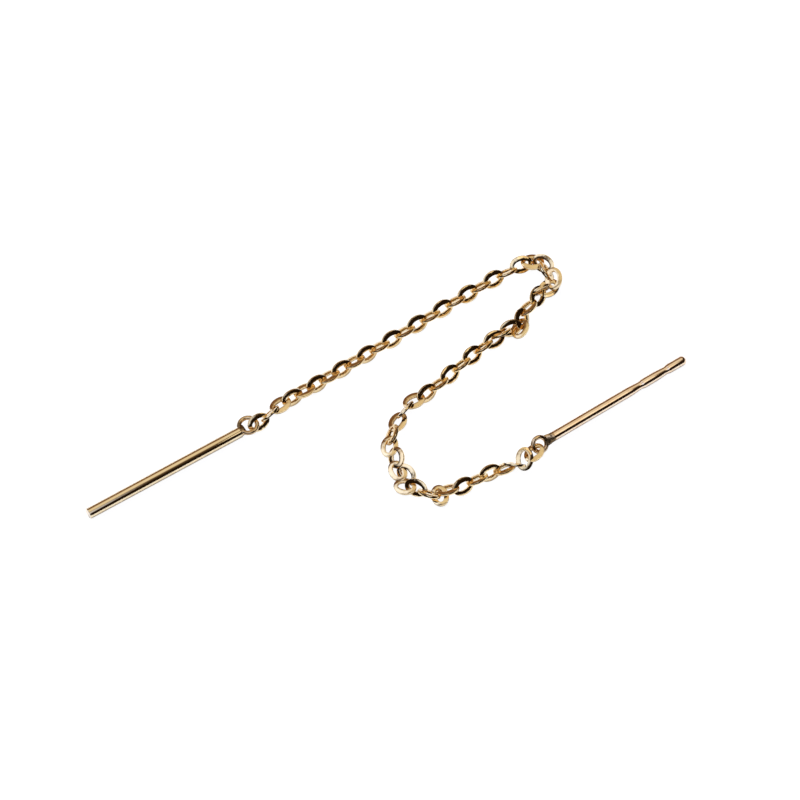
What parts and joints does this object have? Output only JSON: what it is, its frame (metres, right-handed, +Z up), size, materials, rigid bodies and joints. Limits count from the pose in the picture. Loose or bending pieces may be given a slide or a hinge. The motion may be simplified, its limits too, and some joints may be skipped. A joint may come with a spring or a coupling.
{
  "type": "threader earring",
  "caption": "Threader earring: round drop bar with a soldered eye, flat-cut cable chain, and a straight ear post with two friction notches, rounded tip and soldered eye.",
  "frame": {"origin": "on the surface that the earring lies on, below the middle of its box", "axes": "+X along the box's longest side, from the drop bar to the tip of the ear post; +Z up from the surface"},
  "size_m": [0.0478, 0.0238, 0.0014],
  "materials": {
    "bar_gold": "polished yellow gold",
    "chain_gold": "polished yellow gold with flat-cut faces",
    "post_gold": "polished yellow gold"
  },
  "bodies": {
    "root": {"drop_bar": "bar_gold", "cable_chain": "chain_gold", "ear_post": "post_gold"}
  },
  "joints": []
}
